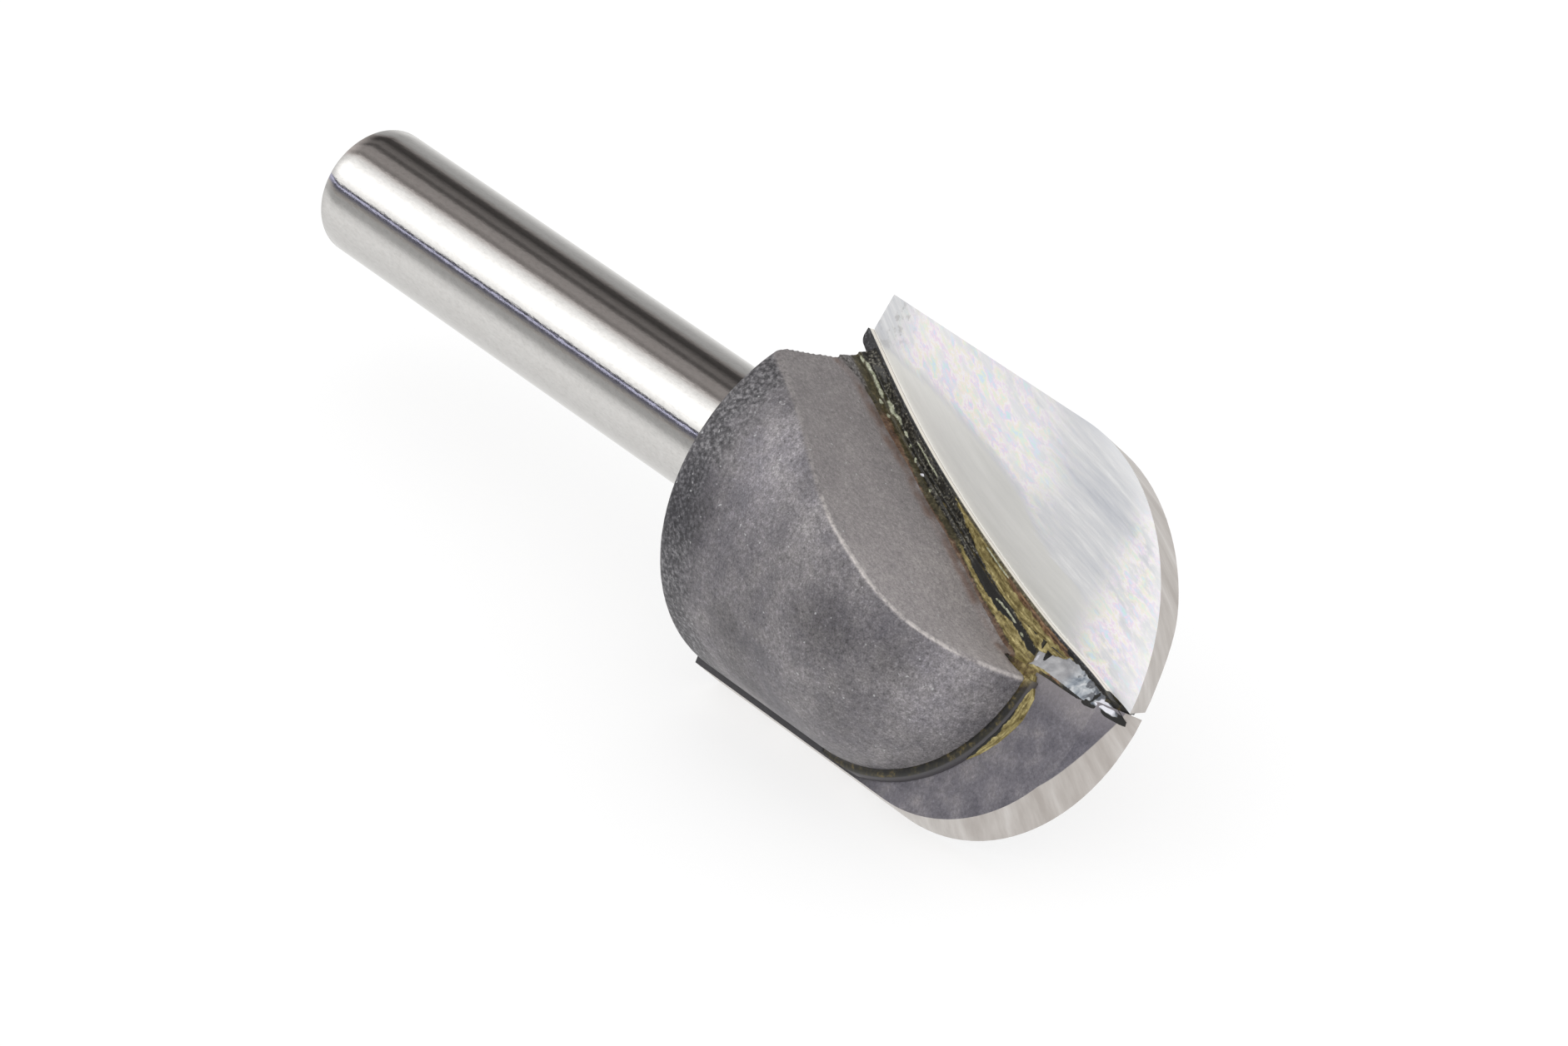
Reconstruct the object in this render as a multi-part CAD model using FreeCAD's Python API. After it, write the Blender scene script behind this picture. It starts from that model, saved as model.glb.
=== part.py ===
import FreeCAD, Part
import math
import os
from FreeCAD import Vector as V

# Ball nose router bit: a turned steel body with its shank in one piece,
# two carbide tips set 180 degrees apart, and the braze that holds them.
# Drawn first in the tool's own frame: nose at the origin, +Z along the axis
# towards the shank's free end, tip a on +X with its rake face towards -Y.
# The whole is then laid on its side as it comes to rest.

# ---- driving dimensions, mm ----
cut_r = 9.525            # cutting radius, 3/4 in across, full ball nose
cut_len = 23.2           # cutting length along the axis
overall_len = 57.15      # 2 1/4 in
shank_r = 3.175          # 1/4 in shank
shank_chamfer = 0.4
body_r = 8.80            # steel behind the tips
body_nose_z = 4.7        # the steel's own ball nose stops short of the tips
shoulder_z = 22.3        # flat back shoulder of the head
shoulder_round = 0.35
shank_fillet = 0.9
rake_y = 0.44            # ground rake faces stand this far ahead of centre
tip_back_y = 1.47        # back face of a tip, in its seat
lip_y = 0.82             # unground lip left along a tip's inner edge
relief_side = 0.56       # how far the relief draws in at a tip's back face
braze_gap = 0.08
gullet_floor_y = 0.85
gullet_root_r = 1.1

# the same round the ball, over the angle from the nose in degrees
relief_ball = [(74, 0.58), (60, 0.61), (46, 0.62), (34, 0.62), (26, 0.66), (19, 0.78),
               (12.5, 0.88), (6.5, 0.93)]
relief_tip = 0.93
# inner wall of a tip in plan, x over z
tip_wall = [(0.04, -0.6), (0.06, 0.35), (0.36, 1.6), (0.50, 3.4), (0.62, 6.0),
            (1.05, 8.6), (2.05, 11.8), (3.25, 15.0), (4.50, 18.3), (5.85, 21.2),
            (6.95, 23.1)]
# edge of the ground rake face in plan
ground_edge = [(-0.10, -0.6), (0.06, 0.30), (0.24, 1.1), (0.48, 2.0), (0.80, 3.4),
               (1.06, 4.8), (1.66, 7.4), (2.74, 11.2), (3.72, 14.2), (5.00, 17.6),
               (6.44, 20.8), (7.74, 23.4), (8.60, 25.2)]
# gullet wall in plan: at its root, and at the ridge it makes with the outside
wall_root = [(-1.00, -1.5), (-0.98, 3.0), (-0.80, 6.0), (-0.30, 8.2), (1.05, 11.2),
             (2.35, 13.8), (3.75, 17.2), (5.12, 20.2), (6.45, 22.2), (7.80, 24.2)]
wall_ridge = [(-1.32, -1.5), (-1.32, 3.0), (-1.16, 6.2), (-0.50, 8.6), (0.72, 11.2),
              (1.95, 13.8), (3.75, 17.1), (5.02, 20.0), (5.62, 22.2), (6.10, 24.2)]


def spline(pts, y):
    c = Part.BSplineCurve()
    c.interpolate([V(x, y, z) for x, z in pts])
    return c.toShape()


def plan_wire(pts, y, far=13.0, top=None, low=None):
    """Closed outline at height y: a curve in plan and the field on its +X side."""
    e = spline(pts, y)
    a, b = V(pts[0][0], y, pts[0][1]), V(pts[-1][0], y, pts[-1][1])
    c, d = V(far, y, b.z), V(far, y, a.z)
    return Part.Wire([e, Part.makeLine(b, c), Part.makeLine(c, d), Part.makeLine(d, a)])


def prism(wire, dy):
    return Part.Face(wire).extrude(V(0, dy, 0))


def half_turn(s):
    t = s.copy()
    t.rotate(V(0, 0, 0), V(0, 0, 1), 180)
    return t


def clean(s):
    s = s.removeSplitter()
    sol = sorted(s.Solids, key=lambda q: -q.Volume)
    return sol[0] if len(sol) == 1 else s


# ---- turned blank ----
zc = body_nose_z + body_r
q = math.sqrt(0.5)


def pt(r, z):
    return V(r, 0, z)


L = overall_len
sr, sf = shoulder_round, shank_fillet
prof = [
    Part.Arc(pt(0, body_nose_z), pt(body_r * q, zc - body_r * q), pt(body_r, zc)).toShape(),
    Part.makeLine(pt(body_r, zc), pt(body_r, shoulder_z - sr)),
    Part.Arc(pt(body_r, shoulder_z - sr), pt(body_r - sr * (1 - q), shoulder_z - sr * (1 - q)),
             pt(body_r - sr, shoulder_z)).toShape(),
    Part.makeLine(pt(body_r - sr, shoulder_z), pt(shank_r + sf, shoulder_z)),
    Part.Arc(pt(shank_r + sf, shoulder_z), pt(shank_r + sf * (1 - q), shoulder_z + sf * (1 - q)),
             pt(shank_r, shoulder_z + sf)).toShape(),
    Part.makeLine(pt(shank_r, shoulder_z + sf), pt(shank_r, L - shank_chamfer)),
    Part.makeLine(pt(shank_r, L - shank_chamfer), pt(shank_r - shank_chamfer, L)),
    Part.makeLine(pt(shank_r - shank_chamfer, L), pt(0, L)),
    Part.makeLine(pt(0, L), pt(0, body_nose_z)),
]
blank = Part.Face(Part.Wire(prof)).revolve(V(0, 0, 0), V(0, 0, 1), 360)

# ---- gullet: wall, floor and the cutter's root radius ----
# the ridge curve is read about 7 mm above the floor; the wall runs straight on past it
k = (12.0 - gullet_floor_y) / (8.0 - gullet_floor_y)
far_ridge = [(r[0] + (d[0] - r[0]) * k, r[1] + (d[1] - r[1]) * k) for r, d in zip(wall_root, wall_ridge)]
gullet = Part.makeLoft([plan_wire(wall_root, -gullet_floor_y), plan_wire(far_ridge, -12.0)], True, True)
root_edges = [e for e in gullet.Edges
              if abs(e.BoundBox.YMax + gullet_floor_y) < 1e-6 and abs(e.BoundBox.YMin + gullet_floor_y) < 1e-6
              and e.Curve.TypeId == "Part::GeomBSplineCurve"]
gullet = gullet.makeFillet(gullet_root_r, root_edges)

# ---- tip seat: floor behind the tip, wall along its inner edge ----
seat_wall = [(x - braze_gap, z) for x, z in tip_wall]
seat_wall = [(seat_wall[0][0], -1.5)] + seat_wall[1:-1] + [(seat_wall[-1][0] + 0.9, seat_wall[-1][1] + 1.7)]
seat = prism(plan_wire(seat_wall, -12.0), 12.0 + tip_back_y + braze_gap)

body = blank
for tool in (gullet, seat):
    body = body.cut(tool).cut(half_turn(tool))
body = clean(body)


# ---- carbide tip ----
def tip_outline(y, f):
    """Outline of a tip at height y; f is the share of the relief drawn in there."""
    p0 = V(cut_r - relief_side * f, y, cut_len)
    p1 = V(cut_r - relief_side * f, y, cut_r)
    ball = [p1]
    for deg, d in relief_ball:
        a, r = math.radians(deg), cut_r - d * f
        ball.append(V(r * math.sin(a), y, cut_r - r * math.cos(a)))
    w0 = tip_wall[1]
    p3 = V(w0[0], y, relief_tip * f + 0.004)
    ball.append(p3)
    arc = Part.BSplineCurve()
    arc.interpolate(Points=ball, InitialTangent=V(0, 0, -1), FinalTangent=V(-1, 0, 0))
    wall = [(w0[0], relief_tip * f + 0.004)] + tip_wall[2:]
    w1 = V(tip_wall[-1][0], y, tip_wall[-1][1])
    p5 = V(tip_wall[-1][0] + 0.55, y, tip_wall[-1][1] + 0.28)
    pc = V(tip_wall[-1][0] + 0.17, y, tip_wall[-1][1] + 0.22)
    return Part.Wire([
        Part.makeLine(p0, p1),
        arc.toShape(),
        spline(wall, y),
        Part.Arc(w1, pc, p5).toShape(),
        Part.makeLine(p5, p0),
    ])


# the relief starts at the rake plane and runs on past it up to the lip
t = (lip_y - rake_y) / (tip_back_y + rake_y)
tip = Part.makeLoft([tip_outline(-lip_y, -t), tip_outline(tip_back_y, 1.0)], True, True)
grind = prism(plan_wire(ground_edge, -rake_y), -3.0)
tip = clean(tip.cut(grind))

# ---- braze: film in the seat, bead in the root, fillet behind the tip, seam at the nose ----
film = prism(plan_wire(seat_wall, -lip_y + 0.05), lip_y - 0.05 + tip_back_y + braze_gap)
film = film.cut(prism(plan_wire([(x - 0.01, z) for x, z in ground_edge], -0.4), -3.0)).common(blank)
# bead between the lip and the gullet wall
bead = prism(plan_wire([(x - 0.25, z) for x, z in wall_root], -0.98), 0.98 - 0.4)
over_lip = prism(plan_wire([(x + 0.10, z) for x, z in tip_wall[:-1]] + [(7.9, 24.2)], -3.0), 3.0)
slab = Part.makeBox(30, 30, 17.1, V(-15, -15, 5.15))
bead = bead.cut(over_lip).common(slab).common(blank)
# fillet where the steel's nose meets the back of the tip
rim = Part.makeTorus(body_r * 0.985, 0.42, V(0, tip_back_y - 0.02, zc), V(0, 1, 0))
rim = rim.common(Part.makeBox(9.0, 0.55, zc, V(0.9, tip_back_y, 0)))
rim = rim.common(prism(tip_outline(tip_back_y, 1.3), 1.5))
# seam at the nose: it slopes from one tip's lip to the back edge of the other,
# and each joint has the half on its own side of the middle plane
sm = [(1.0, 0.0), (1.0, -0.32), (-0.50, -1.45), (-0.95, -1.45), (-0.95, 0.0), (1.0, 0.0)]
seam = Part.Face(Part.makePolygon([V(x, y, 0.4) for x, y in sm])).extrude(V(0, 0, 5.2))
seam = seam.cut(prism(plan_wire([(x - 0.01, z) for x, z in ground_edge], -0.4), -3.0))
# its nose draws in with the relief of the tips
nose = [(0.3, -0.5), (0.3, 0.34), (0.0, 0.40), (-1.7, 1.42), (-1.7, -0.5), (0.3, -0.5)]
seam = seam.cut(Part.Face(Part.makePolygon([V(-1.5, y, z) for y, z in nose])).extrude(V(3.0, 0, 0)))
braze = film.fuse([bead, rim]).cut(Part.makeBox(4.0, 4.0, 5.6, V(-2.0, -4.0, 0.0)))
braze = braze.cut(Part.makeBox(20, 1.3, 6.2, V(-20, -0.65, -0.5)))
braze = braze.fuse(seam).cut(tip).cut(half_turn(tip)).cut(body).cut(half_turn(film)).cut(half_turn(seam))
braze_sols = [s for s in braze.Solids if s.Volume > 0.02]
print("braze solids", [(round(s.Volume, 3), s.BoundBox) for s in braze.Solids])
braze_a = braze_sols[0] if len(braze_sols) == 1 else Part.makeCompound(braze_sols)
braze_b = half_turn(braze_a)
tip_b = half_turn(tip)

# ---- lay it down: it lies on one cutting edge and on the back corner of a ridge ----
zr = shoulder_z - shoulder_round
edge_pt = (cut_r, -rake_y)
best = None
sec = body.slice(V(0, 0, 1), zr)
for w in sec:
    for p in w.discretize(Distance=0.005):
        if p.x > 0 and p.y < -3.0:
            a = math.atan2(p.y - edge_pt[1], p.x - edge_pt[0])
            if best is None or a > best[0]:
                best = (a, p)
ridge_pt = best[1]
dx, dy = ridge_pt.x - edge_pt[0], ridge_pt.y - edge_pt[1]
n = V(-dy, dx, 0)
n.normalize()
if n.x < 0:
    n = n * -1
print("ridge corner", ridge_pt, "up", n, "axis height", n.x * edge_pt[0] + n.y * edge_pt[1])

# rows of the frame: +X towards the nose, +Z up
ex, ez = V(0, 0, -1), n
ey = ez.cross(ex)
m = FreeCAD.Matrix(ex.x, ex.y, ex.z, 0, ey.x, ey.y, ey.z, 0, ez.x, ez.y, ez.z, 0, 0, 0, 0, 1)
nodes = {"shank_body": body, "carbide_tip_a": tip, "carbide_tip_b": tip_b,
         "braze_joint_a": braze_a, "braze_joint_b": braze_b}
laid = {name: s.transformed(m, True) for name, s in nodes.items()}
box = FreeCAD.BoundBox()
for s in laid.values():
    box.add(s.optimalBoundingBox(False, False))
shift = V(-box.Center.x, -box.Center.y, -box.ZMin)
print("box", box.XLength, box.YLength, box.ZLength, "shift", shift)

os.makedirs("parts", exist_ok=True)
for name, s in laid.items():
    s.translate(shift)
    print(name, s.ShapeType, "valid", s.isValid(), "solids", len(s.Solids), "vol", round(s.Volume, 3),
          "com", s.CenterOfMass if hasattr(s, "CenterOfMass") else "")
    s.exportStep("parts/%s.step" % name)
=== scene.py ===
import math
import bpy
import bmesh
import numpy as np
from mathutils import Matrix, Vector
from mathutils.bvhtree import BVHTree


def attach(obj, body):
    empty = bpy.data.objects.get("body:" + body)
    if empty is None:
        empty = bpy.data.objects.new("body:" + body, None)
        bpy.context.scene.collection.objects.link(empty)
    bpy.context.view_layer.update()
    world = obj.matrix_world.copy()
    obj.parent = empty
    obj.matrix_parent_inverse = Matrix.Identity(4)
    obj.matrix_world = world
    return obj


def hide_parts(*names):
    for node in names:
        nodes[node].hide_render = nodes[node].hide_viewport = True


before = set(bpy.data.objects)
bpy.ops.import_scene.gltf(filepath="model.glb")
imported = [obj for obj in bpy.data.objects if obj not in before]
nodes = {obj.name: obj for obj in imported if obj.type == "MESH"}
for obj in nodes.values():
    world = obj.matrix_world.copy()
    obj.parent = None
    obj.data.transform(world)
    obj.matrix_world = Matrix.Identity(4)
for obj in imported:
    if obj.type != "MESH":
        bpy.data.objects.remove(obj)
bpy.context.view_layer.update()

scene = bpy.context.scene
scene.view_settings.view_transform = "Standard"
scene.view_settings.look = "None"

# ---------------------------------------------------------------- the tool's own frame
# millimetres, nose at the origin, +Z towards the shank's end, tip a on +X, its rake face towards -Y
MM = 0.001
N_UP = (0.8550466446583767, -0.5185510924281731)
SHIFT = np.array([28.577, 0.0, 8.37843])
M_ROW = np.array([[0.0, 0.0, -1.0], [-N_UP[1], N_UP[0], 0.0], [N_UP[0], N_UP[1], 0.0]])


def to_row(p):
    return (np.asarray(p, float) @ M_ROW.T + SHIFT) * MM


def to_tool(p):
    return (np.asarray(p, float) / MM - SHIFT) @ M_ROW


CUT_R, CUT_LEN, SHANK_R, OVERALL = 9.525, 23.2, 3.175, 57.15

# ---------------------------------------------------------------- camera
cam_data = bpy.data.cameras.new("camera")
cam_data.sensor_fit = "HORIZONTAL"
cam_data.sensor_width = 36.0
cam_data.lens = 10000.0 / 1882.0 * 36.0
cam_data.clip_start, cam_data.clip_end = 0.01, 20.0
cam = bpy.data.objects.new("camera", cam_data)
scene.collection.objects.link(cam)
right = Vector((0.597358, 0.801642, 0.023092))
up = Vector((-0.417226, 0.286055, 0.862609))
back = Vector((0.684899, -0.524921, 0.505343))
m = Matrix((right, up, back)).transposed().to_4x4()
m.translation = Vector((0.25684137, -0.19391205, 0.19257234))
cam.matrix_world = m
scene.camera = cam


# ---------------------------------------------------------------- small helpers for meshes
def new_mesh_object(name, verts, faces, smooth=True):
    me = bpy.data.meshes.new(name)
    me.from_pydata([tuple(v) for v in verts], [], faces)
    me.validate()
    me.update()
    if smooth:
        me.polygons.foreach_set("use_smooth", [True] * len(me.polygons))
    ob = bpy.data.objects.new(name, me)
    scene.collection.objects.link(ob)
    return ob


def apply_modifiers(ob):
    """The object's mesh with its modifiers worked in, and no modifier left."""
    dg = bpy.context.evaluated_depsgraph_get()
    dg.update()
    me = bpy.data.meshes.new_from_object(ob.evaluated_get(dg))
    old = ob.data
    ob.modifiers.clear()
    ob.data = me
    bpy.data.meshes.remove(old)
    return ob


def set_attr(me, name, values):
    a = me.attributes.get(name) or me.attributes.new(name, "FLOAT", "POINT")
    a.data.foreach_set("value", np.asarray(values, np.float32))


def mesh_co(me):
    co = np.empty(len(me.vertices) * 3, np.float32)
    me.vertices.foreach_get("co", co)
    return co.reshape(-1, 3).astype(float)


# ---------------------------------------------------------------- small helpers for shaders
class Tree:
    def __init__(self, tree):
        self.t = tree
        self.n = tree.nodes
        self.l = tree.links

    def node(self, kind, **props):
        nd = self.n.new(kind)
        for k, v in props.items():
            setattr(nd, k, v)
        return nd

    def put(self, sock, val):
        if isinstance(val, bpy.types.NodeSocket):
            self.l.new(val, sock)
        elif val is not None:
            sock.default_value = val

    def math(self, op, a, b=None, c=None, clamp=False):
        nd = self.node("ShaderNodeMath", operation=op, use_clamp=clamp)
        self.put(nd.inputs[0], a)
        self.put(nd.inputs[1], b)
        self.put(nd.inputs[2], c)
        return nd.outputs[0]

    def vmath(self, op, a, b=None, scale=None):
        nd = self.node("ShaderNodeVectorMath", operation=op)
        self.put(nd.inputs[0], a)
        self.put(nd.inputs[1], b)
        if scale is not None:
            self.put(nd.inputs["Scale"], scale)
        return nd.outputs["Value"] if op in ("DOT_PRODUCT", "LENGTH", "DISTANCE") else nd.outputs["Vector"]

    def ramp(self, fac, stops, interp="LINEAR"):
        nd = self.node("ShaderNodeValToRGB")
        cr = nd.color_ramp
        cr.interpolation = interp
        while len(cr.elements) < len(stops):
            cr.elements.new(0.5)
        for e, (p, c) in zip(cr.elements, stops):
            e.position = p
            e.color = (c, c, c, 1) if isinstance(c, (int, float)) else (*c, 1)
        self.put(nd.inputs[0], fac)
        return nd.outputs["Color"]

    def step(self, val, lo, hi):
        """0 below lo, 1 above hi, smooth between (lo may be above hi)."""
        nd = self.node("ShaderNodeMapRange", interpolation_type="SMOOTHSTEP")
        self.put(nd.inputs["Value"], val)
        if lo <= hi:
            nd.inputs["From Min"].default_value = lo
            nd.inputs["From Max"].default_value = hi
            return nd.outputs[0]
        nd.inputs["From Min"].default_value = hi
        nd.inputs["From Max"].default_value = lo
        return self.math("SUBTRACT", 1.0, nd.outputs[0])

    def noise(self, vec, scale, detail=3.0, rough=0.5, distort=0.0, kind="FBM", w=None):
        nd = self.node("ShaderNodeTexNoise")
        nd.noise_dimensions = "4D" if w is not None else "3D"
        nd.noise_type = kind
        self.put(nd.inputs["Vector"], vec)
        nd.inputs["Scale"].default_value = scale
        nd.inputs["Detail"].default_value = detail
        nd.inputs["Roughness"].default_value = rough
        nd.inputs["Distortion"].default_value = distort
        if w is not None:
            nd.inputs["W"].default_value = w
        return nd

    def mix(self, fac, a, b, blend="MIX"):
        nd = self.node("ShaderNodeMix", data_type="RGBA", blend_type=blend)
        self.put(nd.inputs[0], fac)
        self.put(nd.inputs[6], (*a, 1) if isinstance(a, tuple) else a)
        self.put(nd.inputs[7], (*b, 1) if isinstance(b, tuple) else b)
        return nd.outputs[2]

    def mixf(self, fac, a, b):
        nd = self.node("ShaderNodeMix", data_type="FLOAT")
        self.put(nd.inputs[0], fac)
        self.put(nd.inputs[2], a)
        self.put(nd.inputs[3], b)
        return nd.outputs[0]

    def attr(self, name):
        return self.node("ShaderNodeAttribute", attribute_name=name).outputs["Fac"]

    def bump(self, height, strength, distance, normal=None):
        nd = self.node("ShaderNodeBump")
        nd.inputs["Strength"].default_value = strength
        nd.inputs["Distance"].default_value = distance
        self.put(nd.inputs["Height"], height)
        if normal is not None:
            self.put(nd.inputs["Normal"], normal)
        return nd.outputs[0]

    def tool_coords(self, sign=1.0):
        """Tool-frame position in millimetres from object coordinates; sign -1 turns it half round."""
        tc = self.node("ShaderNodeTexCoord").outputs["Object"]
        p = self.vmath("SCALE", tc, scale=1.0 / MM)
        p = self.vmath("SUBTRACT", p, tuple(SHIFT))
        x = self.vmath("DOT_PRODUCT", p, tuple(M_ROW[:, 0] * sign))
        y = self.vmath("DOT_PRODUCT", p, tuple(M_ROW[:, 1] * sign))
        z = self.vmath("DOT_PRODUCT", p, tuple(M_ROW[:, 2]))
        c = self.node("ShaderNodeCombineXYZ")
        for i, v in enumerate((x, y, z)):
            self.put(c.inputs[i], v)
        return x, y, z, c.outputs[0]

    def tool_normal(self, sign=1.0):
        nn = self.node("ShaderNodeNewGeometry").outputs["Normal"]
        return tuple(self.vmath("DOT_PRODUCT", nn, tuple(M_ROW[:, i] * (sign if i < 2 else 1.0))) for i in range(3))


def material(name):
    mt = bpy.data.materials.new(name)
    mt.use_nodes = True
    t = Tree(mt.node_tree)
    bsdf = mt.node_tree.nodes["Principled BSDF"]
    return mt, t, bsdf


# ---------------------------------------------------------------- world and floor
# what the polished shank mirrors, over the angle round the tool's axis
# (0 level at the back, 90 overhead, 180 level towards the viewer)
SKY = [(-180, .50), (-170, .56), (-160, .95), (-148, 1.09), (-100, .90), (-20, .85), (8, .53), (22, .47), (30, .32), (38, .08), (48, .06),
       (58, .18), (63, .20), (67, .11), (72, .13), (77, .34), (89, .38), (95, .27), (98, .30), (101, .62), (107, 1.05), (130, 2.1),
       (142, 2.1), (159.8, 1.2), (160.5, .02), (163.4, .02), (164.1, 1.15), (166.0, 1.05), (166.8, .08), (175, .34), (180, .50)]
w = bpy.data.worlds.new("world")
scene.world = w
w.use_nodes = True
t = Tree(w.node_tree)
bg = w.node_tree.nodes["Background"]
gen = t.node("ShaderNodeTexCoord").outputs["Generated"]
sep = t.node("ShaderNodeSeparateXYZ")
t.put(sep.inputs[0], gen)
ang = t.math("ARCTAN2", sep.outputs[2], sep.outputs[1])
fac = t.math("MULTIPLY_ADD", ang, 0.5 / math.pi, 0.5)
sky = t.ramp(fac, [((a + 180) / 360.0, v / 2.5) for a, v in SKY])
sky = t.vmath("SCALE", sky, scale=2.5)
ax = t.math("ABSOLUTE", sep.outputs[0])
sky = t.mix(t.step(ax, 0.80, 0.98), sky, (0.8, 0.8, 0.8))
warm = t.math("MULTIPLY", t.step(ang, math.radians(22), math.radians(34)), t.step(ang, math.radians(112), math.radians(96)))
tint = t.mix(warm, (1.0, 0.992, 0.975), (1.05, 0.965, 0.93))
tint = t.mix(t.step(ang, math.radians(159.5), math.radians(161)), tint, (0.88, 0.88, 1.14))
tint = t.mix(t.step(ang, math.radians(168), math.radians(176)), tint, (1.04, 0.985, 0.94))
sky = t.mix(1.0, sky, tint, "MULTIPLY")
lp = t.node("ShaderNodeLightPath")
# soft light from all round for the matt surfaces, a little stronger from above
even = t.ramp(fac, [(0.0, 0.80), (0.30, 0.62), (0.52, 0.88), (0.66, 1.0), (0.82, 1.0), (1.0, 0.80)])
even = t.vmath("SCALE", even, scale=1.12)
sky = t.mix(lp.outputs["Is Diffuse Ray"], sky, even)
col = t.mix(lp.outputs["Is Camera Ray"], sky, (1.05, 1.05, 1.05))
w.cycles.sampling_method = "NONE"
t.put(bg.inputs["Color"], col)

n_seg = 96
R_FLOOR = 0.075
ring = [(R_FLOOR * math.cos(2 * math.pi * i / n_seg), R_FLOOR * math.sin(2 * math.pi * i / n_seg), 0.0) for i in range(n_seg)]
floor = new_mesh_object("floor", ring, [tuple(range(n_seg))], smooth=False)
floor.visible_glossy = False
mt, t, bsdf = material("floor")
bsdf.inputs["Base Color"].default_value = (0.32, 0.32, 0.32, 1)
bsdf.inputs["Roughness"].default_value = 1.0
bsdf.inputs["Specular IOR Level"].default_value = 0.0
bsdf.inputs["Emission Color"].default_value = (1, 1, 1, 1)
bsdf.inputs["Emission Strength"].default_value = 0.70
floor.data.materials.append(mt)


# ---------------------------------------------------------------- materials of the object
def mat_shank():
    mt, t, b = material("polished_steel")
    x, y, z, p = t.tool_coords()
    b.inputs["Metallic"].default_value = 1.0
    # fine turning marks round the shank and the small ripple of the grinding
    st = t.vmath("MULTIPLY", p, (0.6, 0.6, 6.0))
    n1 = t.noise(st, 9.0, 4.0, 0.6).outputs[0]
    n2 = t.noise(p, 1.7, 3.0, 0.55).outputs[0]
    n3 = t.noise(t.vmath("MULTIPLY", p, (1.0, 1.0, 0.35)), 6.0, 2.0, 0.5).outputs[0]
    c = t.mix(n2, (0.56, 0.55, 0.54), (0.62, 0.615, 0.61))
    n4 = t.noise(t.vmath("MULTIPLY", p, (1.0, 1.0, 0.45)), 7.0, 4.0, 0.7, w=3.0).outputs[0]
    c = t.mix(1.0, c, t.ramp(n4, [(0.34, 0.90), (0.48, 0.99), (0.56, 1.01), (0.70, 1.08)]), "MULTIPLY")
    t.put(b.inputs["Base Color"], c)
    t.put(b.inputs["Roughness"], t.math("MULTIPLY_ADD", n1, 0.05, 0.035))
    h = t.math("ADD", t.math("MULTIPLY", n4, 0.45), t.math("ADD", t.math("MULTIPLY", n3, 0.35), t.math("MULTIPLY", n2, 0.25)))
    t.put(b.inputs["Normal"], t.bump(h, 0.5, 0.000010))
    return mt


# painted light and shade on the blasted head, with some uneven tone of the steel: clouds mostly lighter where the head
# faces up and darker where it turns down and away; centre, radius, factor
LIGHT_SHADE_CLOUDS = [((-2.9, -8.0, 11.0), 2.6, 0.70), ((-5.6, -6.8, 17.2), 2.2, 0.66), ((-6.4, -5.4, 10.8), 1.7, 0.80), ((-7.3, -4.9, 17.2), 2.2, 0.72),
          ((-4.8, -6.2, 9.4), 1.6, 0.84), ((-2.8, -6.6, 8.2), 1.7, 0.76), ((-3.6, -4.3, 6.8), 2.6, 1.40), ((-2.4, -8.4, 20.6), 1.7, 0.80),
          ((2.6, -8.4, 17.6), 2.8, 1.50), ((1.1, -8.7, 13.4), 2.6, 1.18), ((0.2, -8.8, 17.0), 2.4, 1.30), ((3.3, -8.1, 20.6), 1.8, 1.30),
          ((-1.5, -8.6, 18.2), 2.0, 1.08), ((-5.0, -6.6, 13.4), 2.0, 1.10), ((-1.0, -4.9, 6.2), 2.4, 1.42), ((-4.6, -7.4, 15.4), 2.2, 0.90),
          ((-6.8, -5.6, 20.4), 1.6, 1.25)]


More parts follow.
